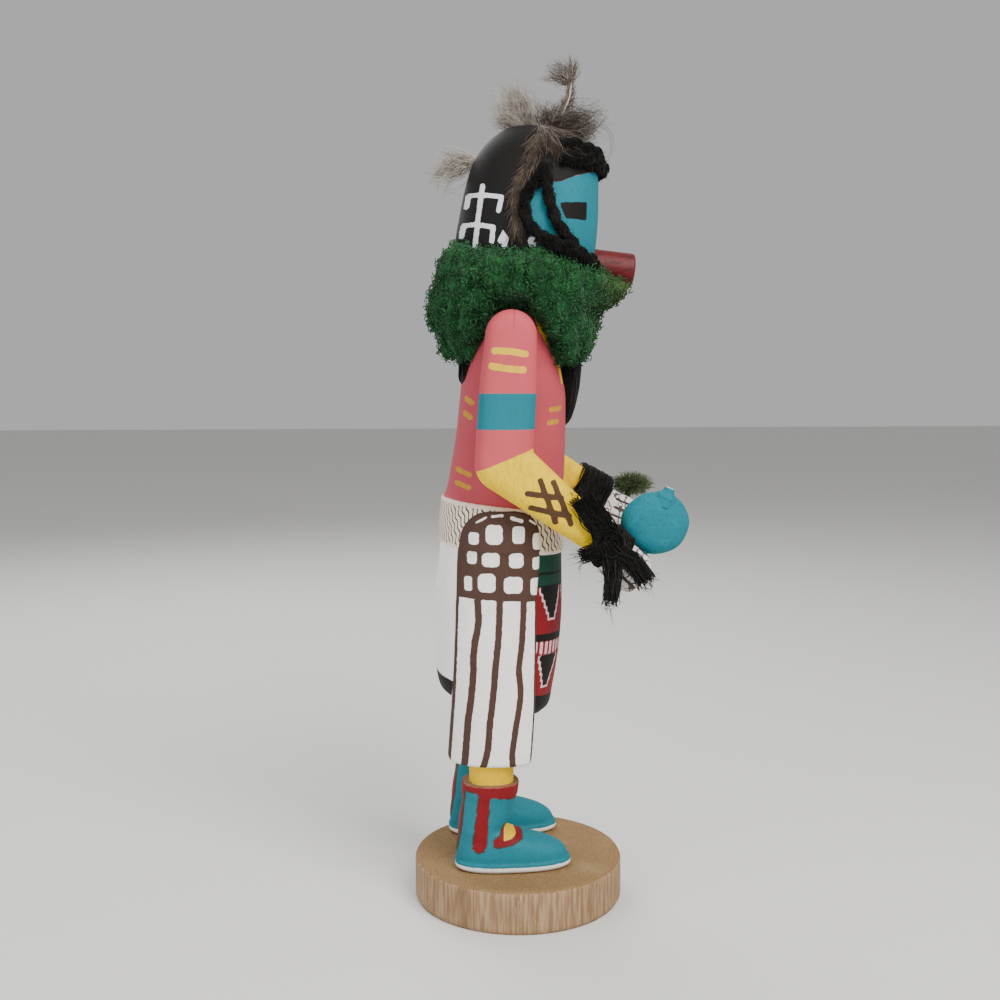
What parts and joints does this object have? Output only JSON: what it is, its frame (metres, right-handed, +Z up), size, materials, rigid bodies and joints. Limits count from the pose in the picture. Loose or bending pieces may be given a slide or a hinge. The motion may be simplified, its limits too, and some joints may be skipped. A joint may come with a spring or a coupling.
{
  "type": "kachina doll",
  "caption": "Carved and painted standing doll with a case mask, wool ruff, rattle and feathers, on a round slice of wood.",
  "frame": {"origin": "centre of the round base's underside", "axes": "+Z up, the figure faces -Y, its right arm is on the -X side"},
  "size_m": [0.0838, 0.0969, 0.3057],
  "materials": {
    "bare_wood": "sanded, unfinished",
    "painted_wood": "matte hand-brushed paint",
    "red_paint": "satin paint",
    "turquoise_paint": "matte paint",
    "green_wool": "curly wool",
    "black_yarn": "matte yarn",
    "feather": "soft down and barbs"
  },
  "bodies": {
    "root": {"base_disc": "bare_wood", "figure": "painted_wood", "right_arm": "painted_wood", "left_arm": "painted_wood", "snout": "red_paint", "rattle": "turquoise_paint", "ruff": "green_wool", "sprig": "green_wool", "beard": "black_yarn", "nape_hair": "black_yarn", "brow_yarn": "black_yarn", "right_face_yarn": "black_yarn", "left_face_yarn": "black_yarn", "right_wrist_tie": "black_yarn", "left_wrist_tie": "black_yarn", "right_fur": "feather", "left_fur": "feather", "crown_feathers": "feather", "back_feather": "feather"}
  },
  "joints": []
}
